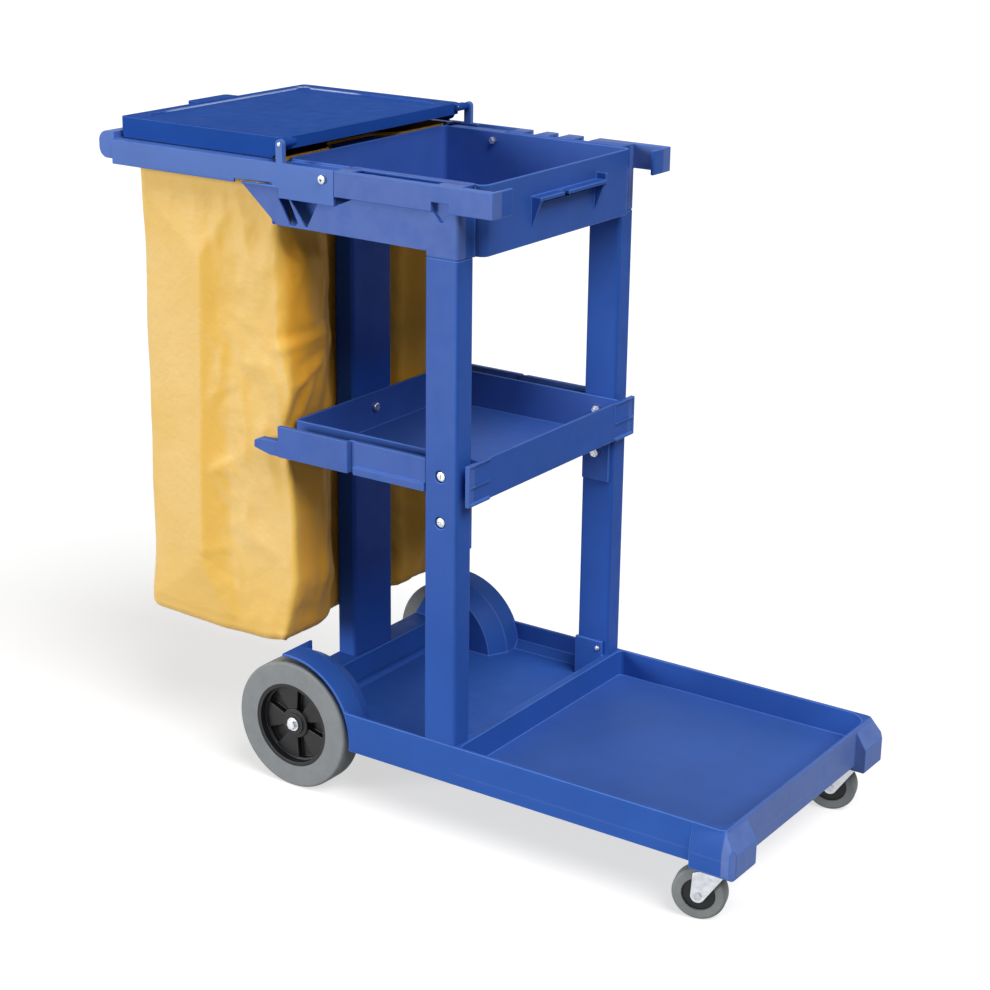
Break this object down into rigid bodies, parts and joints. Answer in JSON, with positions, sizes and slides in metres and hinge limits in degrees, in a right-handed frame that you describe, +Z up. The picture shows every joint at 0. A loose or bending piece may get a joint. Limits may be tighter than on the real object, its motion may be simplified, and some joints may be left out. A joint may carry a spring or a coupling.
{
  "type": "janitor cart",
  "caption": "Moulded plastic janitor cart with a top tray, middle shelf and deck on posts, a hinged lid over a hanging waste bag, large rear wheels and swivel casters.",
  "frame": {"origin": "on the floor under the middle of the whole cart", "axes": "+X to the front, where the casters and the open deck are; +Y to the cart's left; +Z up"},
  "size_m": [1.105, 0.4656, 0.9825],
  "materials": {
    "moulded_blue": "satin moulded plastic with a fine grain",
    "bag_yellow": "coated woven sheet, soft sheen",
    "tyre_grey": "non-marking grey rubber, matt",
    "caster_tread": "grey rubber, matt",
    "hub_black": "black moulded plastic",
    "zinc": "bright zinc plate",
    "steel": "plain steel"
  },
  "bodies": {
    "cart": {"base_deck": "moulded_blue", "front_post_left": "moulded_blue", "front_post_right": "moulded_blue", "rear_post": "moulded_blue", "mid_shelf": "moulded_blue", "top_tray": "moulded_blue", "handle_frame": "moulded_blue", "lid_hinge_pins": "steel", "bag": "bag_yellow", "rear_axle": "steel", "axle_screws": "zinc", "axle_washers": "zinc", "caster_stem_left": "steel", "caster_stem_right": "steel", "shelf_bolts": "zinc", "shelf_nuts": "zinc", "handle_bolts": "zinc", "handle_nuts": "zinc", "foot_screws": "zinc"},
    "lid": {"lid": "moulded_blue"},
    "wheel_left": {"rear_tyre_left": "tyre_grey", "rear_hub_left": "hub_black"},
    "wheel_right": {"rear_tyre_right": "tyre_grey", "rear_hub_right": "hub_black"},
    "caster_left": {"caster_fork_left": "zinc", "caster_axle_left": "steel"},
    "caster_right": {"caster_fork_right": "zinc", "caster_axle_right": "steel"},
    "caster_wheel_left": {"caster_hub_left": "hub_black", "caster_tyre_left": "caster_tread"},
    "caster_wheel_right": {"caster_hub_right": "hub_black", "caster_tyre_right": "caster_tread"}
  },
  "joints": [
    {"name": "lid_hinge", "type": "hinge", "parent": "cart", "child": "lid", "pos_m": [-0.205, 0, 0.9755], "axis": [0, 1, 0], "range_deg": [0, 105]},
    {"name": "wheel_left_spin", "type": "hinge", "parent": "cart", "child": "wheel_left", "pos_m": [-0.2055, 0.205, 0.1], "axis": [0, 1, 0], "continuous": true},
    {"name": "wheel_right_spin", "type": "hinge", "parent": "cart", "child": "wheel_right", "pos_m": [-0.2055, -0.205, 0.1], "axis": [0, 1, 0], "continuous": true},
    {"name": "caster_left_swivel", "type": "hinge", "parent": "cart", "child": "caster_left", "pos_m": [0.518, 0.2, 0.09], "axis": [0, 0, 1], "continuous": true},
    {"name": "caster_right_swivel", "type": "hinge", "parent": "cart", "child": "caster_right", "pos_m": [0.518, -0.2, 0.09], "axis": [0, 0, 1], "continuous": true},
    {"name": "caster_left_spin", "type": "hinge", "parent": "caster_left", "child": "caster_wheel_left", "pos_m": [0.49108, 0.19228, 0.038], "axis": [-0.2756, 0.9613, 0], "continuous": true},
    {"name": "caster_right_spin", "type": "hinge", "parent": "caster_right", "child": "caster_wheel_right", "pos_m": [0.49108, -0.20772, 0.038], "axis": [-0.2756, 0.9613, 0], "continuous": true}
  ]
}
